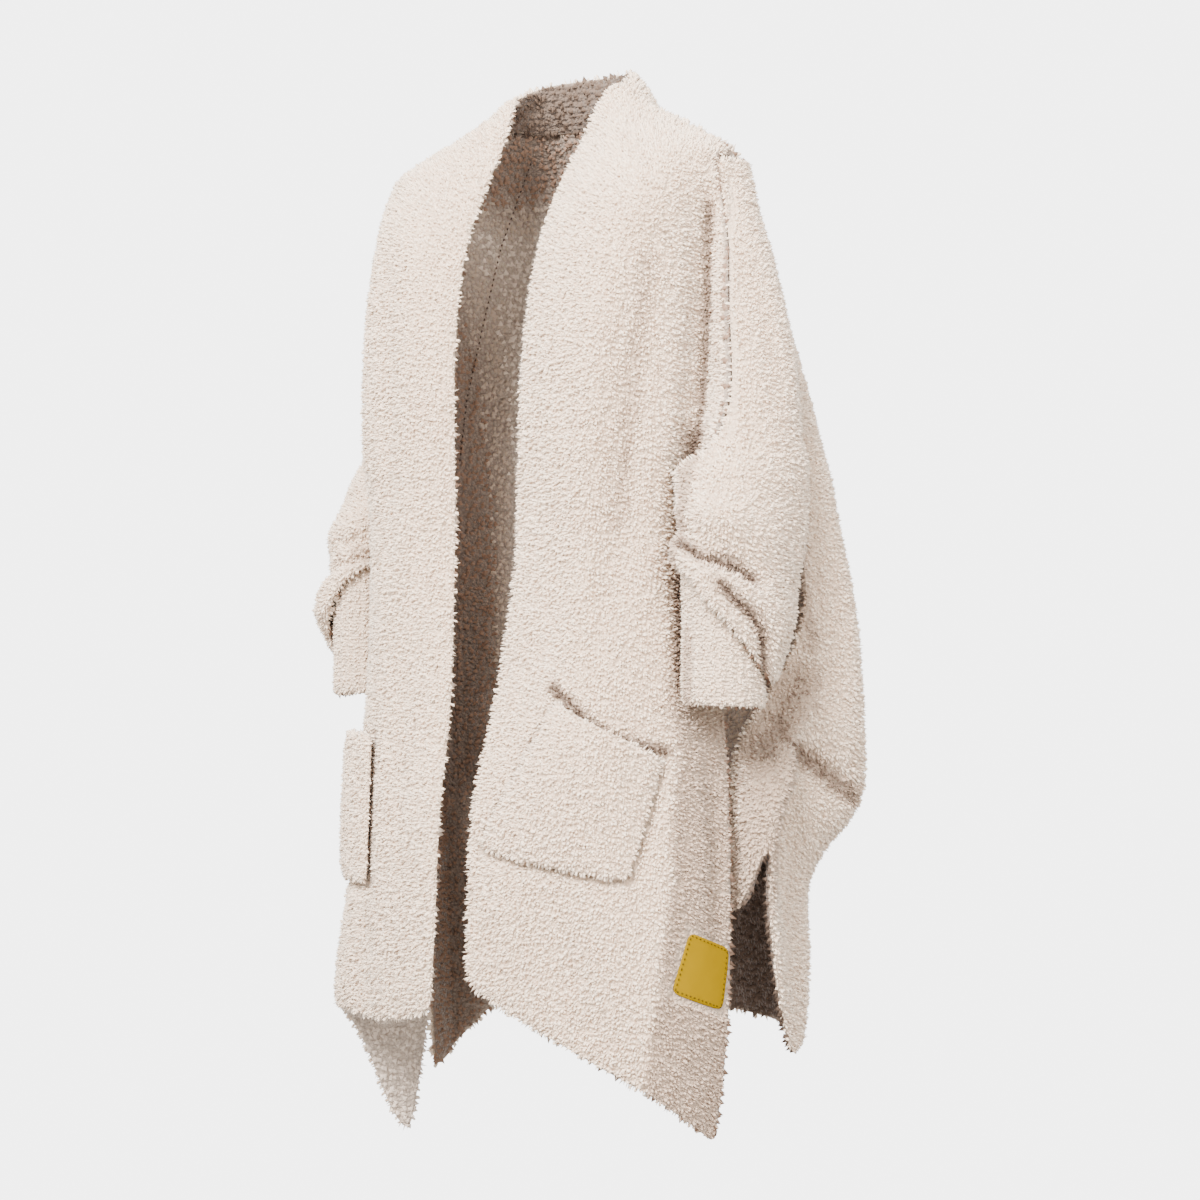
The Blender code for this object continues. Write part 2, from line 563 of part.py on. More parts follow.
def neck_row():
    """The seam between collar and back."""
    places = back_places()
    row = np.array([back_point(place, COLLAR_LEVELS[-1]) for place in places])
    share = np.sin(np.pi * places / places[-1])
    row[:, 2] += (NECK_LEVEL - COLLAR_LEVELS[-1]) * share
    for end, side in ((0, 1), (-1, -1)):
        row[end] = ridge(COLLAR_LEVELS[-1], side)
    normals = neck_normals(row)
    middle = places[-1] / 2
    for side, near in ((1, middle - places), (-1, places - middle)):
        turn = ease(near, NECK_TURN * middle, middle)[:, None]
        corner = ridge_normal(COLLAR_LEVELS[-1], side)
        normals = unit(normals * (1 - turn) + corner * turn)
    return row, normals


def build_back():
    places = back_places()
    hem = BACK_HEM_LEFT + (BACK_HEM_MIDDLE,) + BACK_HEM_RIGHT[::-1]
    hems = through(range(len(hem)), hem, places, keep=True)
    levels = SHOULDER_LEVELS + ARMHOLE_LEVELS + LOWER_LEVELS
    rows = [[back_point(place, level) for place in places] for level in levels]
    for row in range(1, HEM_ROWS + 1):
        share = row / HEM_ROWS
        rows.append([back_point(place, levels[-1] + (low - levels[-1]) * share)
                     for place, low in zip(places, hems)])
    grid = np.array(rows)
    normals = facing(grid, np.array((0.0, 0.0, -0.5)))
    top, top_normals = neck_row()
    grid[0], normals[0] = top - (0.0, 0.0, SEAM), top_normals
    for column, inward, side in ((0, 1, 1), (-1, -2, -1)):
        seam = [(ridge(level, side), ridge_normal(level, side)) for level in SHOULDER_LEVELS]
        seam += [armhole(level, 1.0, side) for level in ARMHOLE_LEVELS]
        set_seam(grid, normals, column, seam, inward, SEAM_FOOT[1])
    grid[0, (0, -1), 2] -= SEAM
    return build_wall("back", grid, normals, WALL / 2, CREAM, ("bottom",))


def build_collar():
    """The band that stands on the neck seam, between the two fronts."""
    base, base_normals = neck_row()
    places = np.linspace(-1, 1, len(base))
    side_top = ridge(COLLAR_LEVELS[0], 1)
    corner = COLLAR_TOP_CORNER
    middle_back, middle_level = COLLAR_TOP_MIDDLE
    lines = [side_top[:2], corner, (0.0, middle_back), (-corner[0], corner[1]),
             (-side_top[0], side_top[1])]
    top_plan = section(lines, np.linspace(0, 4, len(base)))
    rise = middle_level - side_top[2]
    top = np.column_stack((top_plan, side_top[2] + rise * np.cos(np.pi / 2 * places) ** 0.8))
    grid = np.array((top, 0.5 * (top + base), base))
    for column, side in ((0, 1), (-1, -1)):
        for row, level in enumerate(COLLAR_LEVELS):
            grid[row, column] = ridge(level, side)
    normals = facing(grid, np.array((0.0, 0.0, 0.0)))
    normals[-1] = base_normals
    grid[-1, :, 2] += SEAM / 2
    for column, inward, side in ((0, 1, 1), (-1, -2, -1)):
        seam = [(ridge(level, side), ridge_normal(level, side)) for level in COLLAR_LEVELS]
        set_seam(grid, normals, column, seam, inward)
    grid[-1, (0, -1), 2] += SEAM / 2
    return build_wall("collar", grid, normals, WALL / 2, CREAM, ("top",))


# Sleeves and cuffs

def build_sleeve(side):
    """From the shoulder's point, over the arm, to a tube bunched up on the cuff."""
    places = np.linspace(0, 1, SLEEVE_SPANS + 1)
    rows = [arm_at(level) for level in ARMHOLE_LEVELS] + list(SLEEVE[SLEEVE_OPEN_ROWS:])
    pairs = [arm_row(row, places, side) for row in rows]
    grid = np.array([points for points, _ in pairs])
    plan = np.array([normals for _, normals in pairs])
    normals = facing(grid, grid.mean(axis=(0, 1)))
    normals[0] = plan[0]
    seam = [armhole(level, 0.0, side) for level in ARMHOLE_LEVELS]
    set_seam(grid, normals, 0, seam, 1, SEAM_FOOT[0])
    seam = [armhole(level, 1.0, side) for level in ARMHOLE_LEVELS]
    set_seam(grid, normals, -1, seam, -2, SEAM_FOOT[1])
    normals[-1] = plan[-1]
    name = "sleeve_left" if side > 0 else "sleeve_right"
    return build_wall(name, grid, normals, WALL / 2, CREAM, ("bottom",))


def build_cuff(side):
    """A ribbed tube round the forearm, its top inside the sleeve's last fold."""
    dx, dy = arm_shift(CUFF_BOTTOM, side)
    centre = np.array((CUFF_CENTRE[0] + dx, CUFF_CENTRE[1] + dy))
    count = CUFF_SPANS
    angle = np.linspace(0, 2 * np.pi, count, endpoint=False)
    low = 0.5 + 0.5 * np.cos(angle - np.radians(SLEEVE_LOW))
    top = CUFF_TOP[0] + (CUFF_TOP[1] - CUFF_TOP[0]) * low
    rings = []
    for share in np.linspace(0, 1, CUFF_RINGS):
        waist = 1 - CUFF_WAIST * np.sin(np.pi * share)
        rings.append([np.column_stack((centre[0] + radius * waist * np.cos(angle),
                                       centre[1] + radius * waist * np.sin(angle),
                                       top + (CUFF_BOTTOM - top) * share))
                      for radius in (CUFF_RADIUS + WALL / 2, CUFF_RADIUS - WALL / 2)])
    points = np.concatenate([outer for outer, _ in rings] + [inner for _, inner in rings])
    total = len(rings) * count
    faces = []
    for ring in range(len(rings) - 1):
        for step in range(count):
            here, there = ring * count + step, ring * count + (step + 1) % count
            quad = (here, there, there + count, here + count)
            faces.append(quad)
            faces.append(tuple(corner + total for corner in reversed(quad)))
    for step in range(count):
        there = (step + 1) % count
        foot = total - count
        faces.append((step, step + total, there + total, there))
        faces.append((foot + there, foot + there + total, foot + step + total, foot + step))
    name = "cuff_left" if side > 0 else "cuff_right"
    return build_mesh(name, mirrored(points, side), faces, CREAM)


clear_scene()
build_back()
build_collar()
build_label()
for which in (1, -1):
    build_front(which)
    build_sleeve(which)
    build_cuff(which)
    build_pocket(which)
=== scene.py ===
"""Looks of a wearable wrap blanket: plush knit shells on its solids, their pile, seams and label."""
import math

import bmesh
import bpy
import numpy as np
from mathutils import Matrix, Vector
from mathutils.bvhtree import BVHTree


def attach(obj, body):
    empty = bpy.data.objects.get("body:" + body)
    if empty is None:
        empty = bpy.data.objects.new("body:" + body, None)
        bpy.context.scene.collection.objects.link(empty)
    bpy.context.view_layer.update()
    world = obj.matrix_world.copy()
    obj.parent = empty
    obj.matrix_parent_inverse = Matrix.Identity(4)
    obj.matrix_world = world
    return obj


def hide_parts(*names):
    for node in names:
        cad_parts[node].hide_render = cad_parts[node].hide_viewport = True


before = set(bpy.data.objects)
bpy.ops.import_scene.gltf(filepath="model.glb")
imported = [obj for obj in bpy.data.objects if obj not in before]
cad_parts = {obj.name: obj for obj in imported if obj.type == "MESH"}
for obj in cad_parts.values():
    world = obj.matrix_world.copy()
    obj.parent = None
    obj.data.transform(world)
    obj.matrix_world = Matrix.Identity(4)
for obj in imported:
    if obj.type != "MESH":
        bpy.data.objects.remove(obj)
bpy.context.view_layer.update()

# The camera: how far away it stands, its turn in degrees and its level below the nape
CAMERA_AWAY = 3.0
CAMERA_ROUND = 39.0
CAMERA_LEVEL = -0.4935
# Its lens and shift, in pixels of a picture this wide, on a film in mm
PICTURE_WIDE = 1200.0
FOCUS_IN_PIXELS = 2857.0
SHIFT_IN_PIXELS = 40.0
FILM = 36.0
FOCUS = FOCUS_IN_PIXELS / PICTURE_WIDE * FILM
CAMERA_SHIFT = SHIFT_IN_PIXELS / PICTURE_WIDE

FLOOR_LEVEL = -1.32
FLOOR_HALF = 20.0
DOME_RADIUS = 40.0
# How bright the floor and the dome show
PAPER = 5.0
# The light of the sky, and the warm white of the lamps
DAYLIGHT = (1.0, 0.95, 0.90)
DAYLIGHT_STRENGTH = 1.45
WARM = (1.0, 0.96, 0.92)
THROUGH_CLOTH = (1.0, 0.93, 0.87)
SEED = 7

# Each panel's own flat cut: width, length, share of that rectangle, and what it is sewn to
PANELS = {
    "back": (1.30, 0.98, 0.56, ("collar", "sleeve_left", "sleeve_right")),
    "front_left": (0.34, 1.12, 0.77, ("back", "collar")),
    "front_right": (0.34, 1.16, 0.77, ("back", "collar")),
    "collar": (0.24, 0.075, 0.95, ("back",)),
    "sleeve_left": (0.32, 0.52, 0.58, ("front_left", "back")),
    "sleeve_right": (0.32, 0.52, 0.58, ("front_right", "back")),
    "cuff_left": (0.24, 0.105, 1.0, ("sleeve_left",)),
    "cuff_right": (0.24, 0.105, 1.0, ("sleeve_right",)),
    "pocket_left": (0.17, 0.16, 0.92, ("front_left",)),
    "pocket_right": (0.17, 0.16, 0.92, ("front_right",)),
}

# Lines that several tables share
ARMHOLE = ((0.219, -0.036, -0.10), (0.219, -0.040, -0.20), (0.217, -0.041, -0.27), (0.216, -0.048, -0.335),
           (0.205, -0.046, -0.39), (0.202, -0.057, -0.44), (0.206, -0.065, -0.49))
SIDE_FOLD = ((0.217, -0.085, -0.58), (0.219, -0.095, -0.64), (0.220, -0.105, -0.69), (0.225, -0.117, -0.78),
             (0.220, -0.131, -0.88), (0.212, -0.138, -0.97))
NECK_SEAM = ((-0.095, 0.040, 0.000), (-0.082, 0.058, 0.008), (-0.068, 0.067, 0.012), (-0.053, 0.073, 0.016),
             (-0.035, 0.077, 0.019), (0.000, 0.082, 0.021), (0.035, 0.077, 0.019), (0.068, 0.067, 0.012),
             (0.090, 0.045, 0.004))
LIP = ((0.112, -0.149, -0.580), (0.137, -0.146, -0.602), (0.152, -0.142, -0.616), (0.173, -0.133, -0.629),
       (0.198, -0.117, -0.637), (0.214, -0.102, -0.642))
WING_CREASE = ((0.268, 0.016, -0.612), (0.276, 0.020, -0.635), (0.280, 0.055, -0.656), (0.293, 0.078, -0.676),
               (0.304, 0.107, -0.696))

# Soft folds: panel, points of its line, width, and depth, which is less than 0 for a ridge
FOLDS = (
    ("front_left", ((0.195, -0.092, -0.14), (0.186, -0.105, -0.23), (0.179, -0.113, -0.30),
                    (0.168, -0.117, -0.44), (0.150, -0.125, -0.54)), 0.020, 0.0100),
    ("front_left", ((0.150, -0.120, -0.16), (0.140, -0.125, -0.28), (0.125, -0.130, -0.42)), 0.018, -0.0040),
    ("front_left", ((0.220, -0.036, -0.09), (0.219, -0.040, -0.20), (0.218, -0.041, -0.32)), 0.011, 0.0070),
    ("front_left", ((0.208, -0.065, -0.13), (0.203, -0.075, -0.25), (0.198, -0.085, -0.40)), 0.013, -0.0040),
    ("front_left", ((0.110, -0.135, -0.42), (0.100, -0.140, -0.52), (0.070, -0.140, -0.62)), 0.020, 0.0050),
    ("front_left", SIDE_FOLD, 0.011, -0.0060),
    ("front_left", ((0.236, -0.055, -0.63), (0.240, -0.055, -0.74), (0.245, -0.070, -0.86)), 0.014, 0.0070),
    ("front_left", ((0.120, -0.165, -0.80), (0.145, -0.160, -0.88), (0.180, -0.152, -0.95)), 0.026, 0.0060),
    ("front_left", ((0.060, -0.170, -0.74), (0.075, -0.172, -0.84)), 0.018, -0.0040),
    ("front_right", ((-0.150, -0.120, -0.10), (-0.130, -0.130, -0.26), (-0.125, -0.130, -0.45)),
     0.020, 0.0080),
    ("front_right", ((-0.100, -0.130, -0.50), (-0.095, -0.145, -0.64), (-0.080, -0.155, -0.80)),
     0.022, 0.0060),
    ("front_right", ((-0.180, -0.095, -0.14), (-0.185, -0.100, -0.30), (-0.190, -0.100, -0.46)),
     0.016, -0.0045),
    ("front_right", ((-0.060, -0.140, -0.20), (-0.060, -0.140, -0.40), (-0.050, -0.145, -0.58)),
     0.014, -0.0035),
    ("front_right", ((-0.150, -0.140, -0.80), (-0.160, -0.130, -0.92)), 0.022, 0.0060),
    ("back", ((0.100, 0.130, -0.10), (0.130, 0.140, -0.30), (0.150, 0.150, -0.55), (0.140, 0.150, -0.80)),
     0.030, 0.0130),
    ("back", ((-0.090, 0.130, -0.10), (-0.120, 0.140, -0.28), (-0.130, 0.150, -0.50), (-0.150, 0.140, -0.78)),
     0.028, 0.0120),
    ("back", ((0.020, 0.150, -0.30), (0.030, 0.160, -0.55), (0.020, 0.160, -0.80)), 0.026, -0.0080),
    ("back", ((0.297, 0.060, -0.36), (0.310, 0.075, -0.48), (0.306, 0.085, -0.60), (0.292, 0.080, -0.72)),
     0.018, -0.0040),
    ("back", WING_CREASE, 0.013, 0.0100),
    ("back", ((0.280, 0.036, -0.585), (0.290, 0.060, -0.612), (0.303, 0.086, -0.636)), 0.014, -0.0060),
    ("back", ((0.274, 0.010, -0.665), (0.283, 0.045, -0.705), (0.293, 0.075, -0.735)), 0.016, -0.0060),
    ("back", ((-0.280, 0.060, -0.36), (-0.290, 0.080, -0.50), (-0.280, 0.090, -0.66)), 0.020, 0.0060),
    ("sleeve_left", ((0.250, -0.127, -0.439), (0.270, -0.128, -0.447), (0.287, -0.120, -0.452),
                     (0.299, -0.109, -0.458), (0.316, -0.088, -0.474)), 0.0080, 0.0120),
    ("sleeve_left", ((0.258, -0.118, -0.405), (0.285, -0.110, -0.412), (0.308, -0.085, -0.425)),
     0.019, -0.0090),
    ("sleeve_left", ((0.292, -0.125, -0.474), (0.310, -0.114, -0.495), (0.321, -0.099, -0.509),
                     (0.323, -0.085, -0.531), (0.313, -0.078, -0.566)), 0.0080, 0.0100),
    ("sleeve_left", ((0.268, -0.130, -0.482), (0.285, -0.128, -0.515), (0.292, -0.118, -0.548)),
     0.015, -0.0060),
    ("sleeve_left", ((0.262, -0.040, -0.14), (0.290, -0.030, -0.24), (0.305, -0.030, -0.34)), 0.016, 0.0060),
    ("sleeve_right", ((-0.235, -0.030, -0.14), (-0.260, -0.010, -0.28), (-0.270, 0.010, -0.36)),
     0.016, 0.0060),
)
# Creases that run round a tube: panel, level, how much it rises toward the wearer's left, width, depth
ROUND_FOLDS = (
    ("sleeve_right", -0.418, 0.30, 0.018, -0.0060), ("sleeve_right", -0.456, 0.35, 0.008, 0.0080),
    ("sleeve_right", -0.498, 0.20, 0.016, -0.0060), ("sleeve_right", -0.540, 0.45, 0.008, 0.0080),
)
# Places pulled out of line: panel, points, width, and how far they are pulled
DRAWN = (
    ("back", ((0.288, 0.044, -0.34), (0.292, 0.045, -0.38), (0.296, 0.048, -0.44), (0.297, 0.059, -0.50)),
     0.016, (-0.010, -0.012, 0.0)),
    ("back", NECK_SEAM, 0.010, (0.0, 0.0, 0.006)),
    ("sleeve_left", ((0.224, 0.000, -0.068), (0.232, -0.012, -0.077)), 0.014, (-0.006, 0.0, 0.003)),
    ("collar", NECK_SEAM, 0.008, (0.0, 0.0, -0.004)),
    ("sleeve_left", ((0.305, -0.010, -0.36), (0.310, -0.005, -0.44), (0.315, -0.010, -0.52)), 0.022,
     (0.004, 0.009, 0.0)),
    ("front_right", ((-0.216, 0.000, -1.095), (-0.217, 0.000, -1.090)), 0.014, (0.0, 0.0, 0.008)),
)
# Places in shade, where the pile is darker: panel, points, width, how dark
SHADED = (
    ("front_left", ARMHOLE[:5], 0.0055, 0.72), ("front_left", ARMHOLE[3:], 0.016, 1.00),
    ("front_left", ((0.206, -0.065, -0.49), (0.216, -0.080, -0.58)), 0.012, 0.85),
    ("front_left", LIP, 0.0060, 1.05),
    ("front_left", ((0.228, -0.079, -0.60), (0.236, -0.062, -0.68), (0.243, -0.059, -0.74)), 0.024, 0.42),
    ("front_left", ((0.245, -0.050, -0.60), (0.248, -0.055, -0.72), (0.252, -0.065, -0.86)), 0.022, 0.45),
    ("front_left", ((0.190, -0.098, -0.16), (0.181, -0.110, -0.29), (0.168, -0.117, -0.42)), 0.014, 0.20),
    ("sleeve_left", ((0.246, -0.120, -0.438), (0.258, -0.127, -0.441), (0.276, -0.127, -0.449),
                     (0.299, -0.109, -0.458), (0.312, -0.093, -0.472)), 0.0070, 1.10),
    ("sleeve_left", ((0.296, -0.123, -0.478), (0.310, -0.114, -0.495), (0.321, -0.099, -0.509),
                     (0.323, -0.085, -0.531), (0.313, -0.078, -0.562)), 0.0065, 1.00),
    ("sleeve_left", ((0.238, -0.100, -0.345), (0.240, -0.108, -0.40), (0.240, -0.115, -0.45)), 0.012, 0.45),
    ("sleeve_right", ((-0.300, -0.020, -0.470), (-0.255, -0.060, -0.456), (-0.220, -0.060, -0.446)),
     0.010, 0.60),
    ("cuff_left", ((0.250, -0.115, -0.530), (0.252, -0.112, -0.60)), 0.010, 0.40),
    ("back", WING_CREASE, 0.010, 0.80),
    ("back", ((0.285, 0.030, -0.58), (0.275, 0.010, -0.61), (0.262, 0.000, -0.64)), 0.024, 0.66),
    ("back", ((0.275, 0.000, -0.66), (0.262, -0.015, -0.74), (0.246, -0.016, -0.82)), 0.030, 0.42),
    ("back", ((0.288, 0.040, -0.36), (0.290, 0.042, -0.44), (0.290, 0.045, -0.54)), 0.010, 0.40),
)
# Seams where no curls stand: panel, points, half width
SEAMS = (
    ("back", ((-0.100, 0.080, -0.018), (-0.159, 0.099, -0.104), (-0.193, 0.110, -0.179),
              (-0.225, 0.116, -0.267), (-0.240, 0.118, -0.340)), 0.0026),
    ("sleeve_left", ((0.232, -0.012, -0.077), (0.243, -0.034, -0.138), (0.253, -0.048, -0.204),
                     (0.264, -0.057, -0.269), (0.273, -0.067, -0.321), (0.264, -0.094, -0.361)), 0.0026),
)


# Shader maths

class Value:
    """A socket that takes part in sums as a number does."""

    def __init__(self, tree, socket):
        self.tree, self.socket = tree, socket

    def maths(self, operation, first, second):
        node = self.tree.nodes.new("ShaderNodeMath")
        node.operation = operation
        for slot, value in enumerate((first, second)):
            if isinstance(value, Value):
                self.tree.links.new(value.socket, node.inputs[slot])
            else:
                node.inputs[slot].default_value = value
        return Value(self.tree, node.outputs[0])

    def __add__(self, other):
        return self.maths("ADD", self, other)

    def __radd__(self, other):
        return self.maths("ADD", other, self)

    def __sub__(self, other):
        return self.maths("SUBTRACT", self, other)

    def __rsub__(self, other):
        return self.maths("SUBTRACT", other, self)

    def __mul__(self, other):
        return self.maths("MULTIPLY", self, other)

    def __rmul__(self, other):
        return self.maths("MULTIPLY", other, self)


class Finish:
    """A material, its shader, and one way to add any node."""

    def __init__(self, name, roughness, sheen=0.0):
        self.material = bpy.data.materials.new(name)
        self.material.use_nodes = True
        self.tree = self.material.node_tree
        self.shader = self.tree.nodes["Principled BSDF"]
        self.shader.inputs["Roughness"].default_value = roughness
        self.shader.inputs["Metallic"].default_value = 0.0
        self.shader.inputs["Specular IOR Level"].default_value = 0.2
        self.shader.inputs["Sheen Weight"].default_value = sheen
        self.shader.inputs["Sheen Roughness"].default_value = 0.6

    def node(self, kind, settings=None, output=0, **sockets):
        node = self.tree.nodes.new("ShaderNode" + kind)
        for name, value in (settings or {}).items():
            setattr(node, name, value)
        for name, value in sockets.items():
            key = int(name[1:]) if name[0] == "s" and name[1:].isdigit() else name.replace("_", " ")
            socket = node.inputs[key]
            if isinstance(value, Value):
                self.tree.links.new(value.socket, socket)
            elif isinstance(value, tuple) and len(value) == 3 and socket.type == "RGBA":
                socket.default_value = (*value, 1.0)
            else:
                socket.default_value = value
        return Value(self.tree, node.outputs[output])

    def place(self):
        return self.node("TexCoord", output=3)

    def blend(self, share, first, second):
        return self.node("Mix", {"data_type": "RGBA"}, output=2, s0=share, s6=first, s7=second)

    def attribute(self, name):
        return self.node("Attribute", {"attribute_name": name}, output=2)

    def colour(self, value):
        if isinstance(value, Value):
            self.tree.links.new(value.socket, self.shader.inputs["Base Color"])
        else:
            self.shader.inputs["Base Color"].default_value = (*value, 1.0)

    def relief(self, height, strength, distance):
        normal = self.node("Bump", Strength=strength, Distance=distance, Height=height)
        self.tree.links.new(normal.socket, self.shader.inputs["Normal"])


CREAM = (0.74, 0.59, 0.455)
# Painted shade low in the pile, between the curls
CREAM_LOW_SHADE = (0.50, 0.365, 0.265)
INSIDE = (0.64, 0.53, 0.44)
# Painted shadow deep in the inside's hollow
INSIDE_PAINTED_SHADOW = (0.10, 0.066, 0.048)
# Painted shade in creases, in shaded places and beside the pockets
PAINTED_SHADE_OUTSIDE = (0.13, 0.085, 0.060)


def plush_finish(name, rows):
    """Ground of the knit: painted shade low between the curls, in creases and inside, and faint courses."""
    finish = Finish(name, 0.95, 0.2)
    place = finish.place()
    curls = finish.node("TexVoronoi", {"feature": "F1"}, Vector=place, Scale=300.0, Randomness=1.0)
    cloud = finish.node("TexNoise", Vector=place, Scale=14.0, Detail=3.0, Roughness=0.6)
    courses = finish.node("TexWave", {"wave_type": "BANDS", "bands_direction": "Z"}, output=1, Vector=place,
                          Scale=rows, Distortion=2.0, Detail=2.0, Detail_Scale=2.0)
    # Painted shade low between the curls, mixed with a random cloud of tone
    low_shade_and_mottle = curls * 0.7 + cloud * 0.35 - 0.05
    cream = finish.blend(low_shade_and_mottle, CREAM, CREAM_LOW_SHADE)
    # Painted shade inside, by depth in the hollow, darker between the curls, with a random cloud of tone
    shade = finish.blend(finish.attribute("shade"), INSIDE, INSIDE_PAINTED_SHADOW)
    mottled_painted_shade = finish.blend(curls * 0.5 + cloud * 0.2, shade, INSIDE_PAINTED_SHADOW)
    # Painted shade outside, in creases and beside the pockets
    cream_with_painted_shade = finish.blend(finish.attribute("groove"), cream, PAINTED_SHADE_OUTSIDE)
    finish.colour(finish.blend(finish.attribute("inner"), cream_with_painted_shade, mottled_painted_shade))
    finish.relief(courses * 0.3 - curls, 0.8, 0.004)
    return finish.material


def pile_finish(name, colour, sheen):
    """A curl of the pile: plain, because each curl is smaller than any pattern on it."""
    finish = Finish(name, 0.92, sheen)
    finish.colour(colour)
    return finish.material


PLUSH = plush_finish("plush_knit", 52.0)
RIB = plush_finish("rib_knit", 90.0)
# The pile: three tones of the lit cream, then darker copies that paint shade, down to the bottom of a crease
PILE = [pile_finish("pile_light", (0.82, 0.68, 0.545), 0.3),
        pile_finish("pile", (0.77, 0.62, 0.485), 0.3),
        pile_finish("pile_deep", (0.70, 0.54, 0.41), 0.25),
        pile_finish("pile_shaded", (0.50, 0.375, 0.285), 0.15),
        pile_finish("pile_shadow", (0.25, 0.180, 0.136), 0.0),
        pile_finish("pile_crease", (0.11, 0.074, 0.055), 0.0)]
# How much of the pile in the light is of each of the first shades
LIT_SHARES = (0.36, 0.42, 0.22)
# Pile inside: the lit cream, then darker copies that paint the shade deeper in the hollow
PILE_INSIDE = [pile_finish("inner_pile", (0.68, 0.57, 0.48), 0.1),
               pile_finish("inner_pile_low", (0.46, 0.36, 0.285), 0.05),
               pile_finish("inner_pile_deep", (0.24, 0.155, 0.11), 0.0),
               pile_finish("inner_pile_deepest", (0.115, 0.080, 0.060), 0.0)]


# Shells: the knit ground of each panel, on its solid

RIM_ANGLE = math.radians(50)
MERGE_WITHIN = 0.00002
# Two triangles that differ less than this, in radians, become one face
JOIN_ANGLE = 1.2
# How dark the left front's side is, below the cuff
SIDE_SHADE = 0.36
# How dark the inside is: most panels, the collar, the back's right and top, its left, the right front
INSIDE_SHADE, COLLAR_SHADE, BACK_SHADE, BACK_LEFT_SHADE, FRONT_SHADE = 0.6, 0.92, 0.75, 0.35, 0.5
# A fold fades toward its ends, up to this share of its line from them, and the power keeps it full between
FOLD_END = 0.06
FOLD_FULLNESS = 0.6
# The middle of the right sleeve, where a crease round it has its stated level
SLEEVE_MIDDLE = -0.25


def walls_of(shape, tube):
    """Marks the points of a solid's inner wall. Its two walls are the largest groups that no rim parts."""
    group = {}
    areas = []
    for seed in shape.faces:
        if seed in group:
            continue
        members, waiting = [seed], [seed]
        group[seed] = len(areas)
        while waiting:
            face = waiting.pop()
            for edge in face.edges:
                if len(edge.link_faces) != 2 or edge.calc_face_angle() > RIM_ANGLE:
                    continue
                for other in edge.link_faces:
                    if other not in group:
                        group[other] = len(areas)
                        members.append(other)
                        waiting.append(other)
        areas.append((sum(face.calc_area() for face in members), members))
    walls = sorted(areas, key=lambda entry: -entry[0])[:2]
    centre = sum((vert.co for vert in shape.verts), Vector()) / len(shape.verts)
    facing = []
    for _, members in walls:
        away = 0.0
        for face in members:
            middle = face.calc_center_median()
            axis = Vector((centre.x, centre.y, middle.z)) if tube else Vector((0.0, 0.0, middle.z))
            away += face.calc_area() * face.normal.dot((middle - axis).normalized())
        facing.append(away)
    inner = walls[0][1] if facing[0] < facing[1] else walls[1][1]
    layer = shape.verts.layers.float.new("inner")
    for face in inner:
        for vert in face.verts:
            vert[layer] = 1.0


def panel_mesh(node, cuts):
    """The solid's mesh, merged, made quads, its walls told apart, and subdivided smooth."""
    shape = bmesh.new()
    shape.from_mesh(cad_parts[node].data)
    bmesh.ops.remove_doubles(shape, verts=shape.verts, dist=MERGE_WITHIN)
    bmesh.ops.join_triangles(shape, faces=shape.faces, angle_face_threshold=JOIN_ANGLE,
                             angle_shape_threshold=JOIN_ANGLE)
    walls_of(shape, node.startswith(("sleeve", "cuff")))
    mesh = bpy.data.meshes.new(node + "_knit")
    shape.to_mesh(mesh)
    shape.free()
    piece = bpy.data.objects.new(node + "_knit", mesh)
    bpy.context.collection.objects.link(piece)
    smooth = piece.modifiers.new("smooth", "SUBSURF")
    smooth.levels = smooth.render_levels = cuts
    bpy.context.view_layer.update()
    made = bpy.data.meshes.new_from_object(piece.evaluated_get(bpy.context.evaluated_depsgraph_get()))
    piece.modifiers.clear()
    piece.data = made
    made.name = piece.name
    bpy.data.meshes.remove(mesh)
    made.shade_smooth()
    return piece


def numbers(mesh):
    """Places and normals of a mesh's points."""
    count = len(mesh.vertices)
    places, normals = np.empty(count * 3, np.float32), np.empty(count * 3, np.float32)
    mesh.vertices.foreach_get("co", places)
    mesh.vertices.foreach_get("normal", normals)
    return places.reshape(-1, 3).astype(float), normals.reshape(-1, 3).astype(float)


def from_line(places, line):
    """How far each place is from a line of points, and where along it the nearest is, from 0 to 1."""
    line = np.array(line, float)
    lengths = np.linalg.norm(np.diff(line, axis=0), axis=1)
    before = np.concatenate(([0.0], np.cumsum(lengths)))
    best, along = np.full(len(places), 9.0), np.zeros(len(places))
    for start, end, length, done in zip(line[:-1], line[1:], lengths, before):
        share = np.clip((places - start) @ (end - start) / length ** 2, 0.0, 1.0)
        away = np.linalg.norm(places - (start + share[:, None] * (end - start)), axis=1)
        nearer = away < best
        best = np.where(nearer, away, best)
        along = np.where(nearer, (done + share * length) / before[-1], along)
    return best, along


def soft_folds(panel, places):
    """How far each place on a panel moves inward for its folds."""
    depth = np.zeros(len(places))
    for name, line, width, deep in FOLDS:
        if name == panel:
            away, along = from_line(places, line)
            full = np.sin(np.pi * np.clip(along, FOLD_END, 1 - FOLD_END)) ** FOLD_FULLNESS
            depth += deep * np.exp(-(away / width) ** 2) * full
    for name, level, rise, width, deep in ROUND_FOLDS:
        if name == panel:
            away = places[:, 2] - level - rise * (places[:, 0] - SLEEVE_MIDDLE)
            depth += deep * np.exp(-(away / width) ** 2)
    return depth


def drawn(panel, places):
    """How far each place on a panel is pulled out of line."""
    moved = np.zeros_like(places)
    for name, line, width, draw in DRAWN:
        if name == panel:
            away, _ = from_line(places, line)
            moved += np.exp(-(away / width) ** 2)[:, None] * np.array(draw)
    return moved


def ease(value, start, end):
    """0 at start, 1 at end, smooth between them."""
    part = np.clip((value - start) / (end - start), 0.0, 1.0)
    return part * part * (3 - 2 * part)


